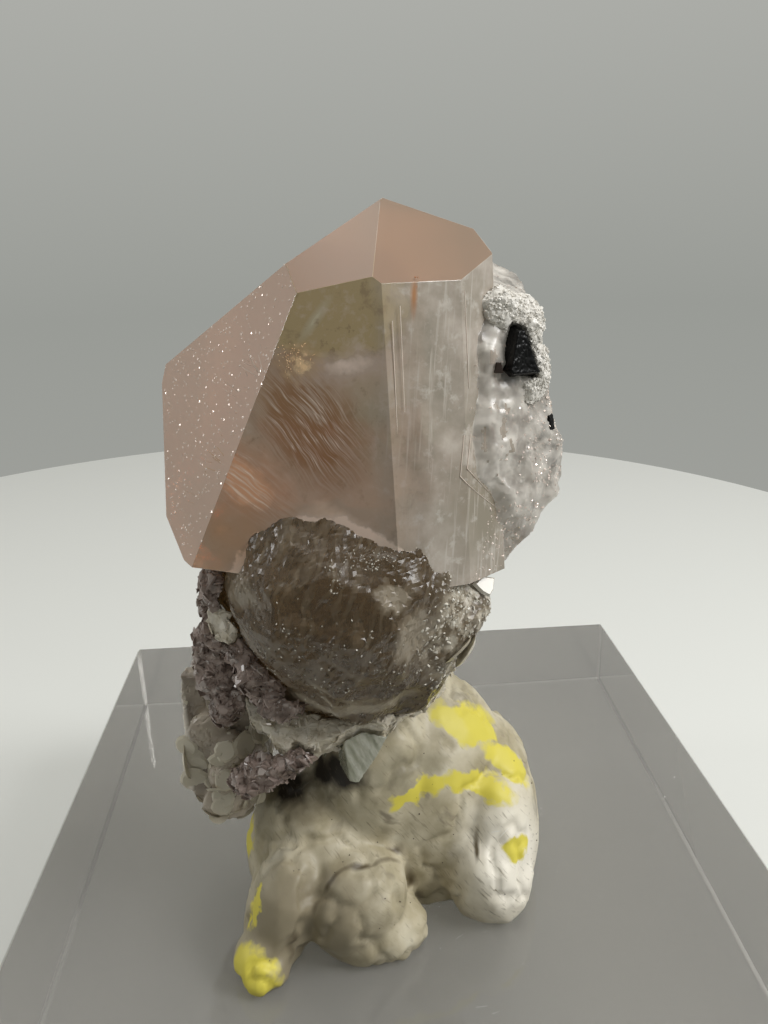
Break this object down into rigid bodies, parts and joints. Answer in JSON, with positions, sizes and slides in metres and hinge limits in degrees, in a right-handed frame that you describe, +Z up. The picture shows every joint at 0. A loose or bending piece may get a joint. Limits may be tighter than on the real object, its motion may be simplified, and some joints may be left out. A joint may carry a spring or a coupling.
{
  "type": "morganite crystal specimen",
  "caption": "Thick pale pink morganite crystal grown on rounded smoky quartz with lilac mica and white albite, held upright by a lump of putty on a square clear display block.",
  "frame": {"origin": "middle of the display block's underside", "axes": "+Z up, +X to the viewer's right, +Y away from the viewer, who faces the crystal's front"},
  "size_m": [0.0762, 0.0762, 0.0914],
  "materials": {
    "clear_acrylic": "polished clear acrylic with sharp bright arrises",
    "putty": "kneaded off-white putty with yellow streaks, dull, with creases and fingermarks",
    "smoky_quartz": "smoky brown see-through quartz, glossy, with a white crust on its right half",
    "morganite": "pale peach-pink see-through beryl, glossy on the front faces and frosted on the left one, cloudy within",
    "albite": "white to pale grey, sugary, slightly translucent",
    "black_tourmaline": "black and glossy",
    "lepidolite": "lilac grey, flaky, with a pearly glint",
    "mica": "grey-brown mica in thin plates with bright edges",
    "feldspar": "grey-green, waxy, with flat cleavage faces"
  },
  "bodies": {
    "root": {"display_block": "clear_acrylic", "mounting_putty": "putty", "smoky_quartz_crystal": "smoky_quartz", "morganite_crystal": "morganite", "albite_patch": "albite", "albite_shelf": "albite", "albite_flake": "albite", "black_crystal_large": "black_tourmaline", "black_crystal_small": "black_tourmaline", "black_crystal_lower": "black_tourmaline", "lepidolite_cluster": "lepidolite", "lepidolite_nodules": "lepidolite", "mica_book": "mica", "feldspar_blades": "feldspar"}
  },
  "joints": []
}
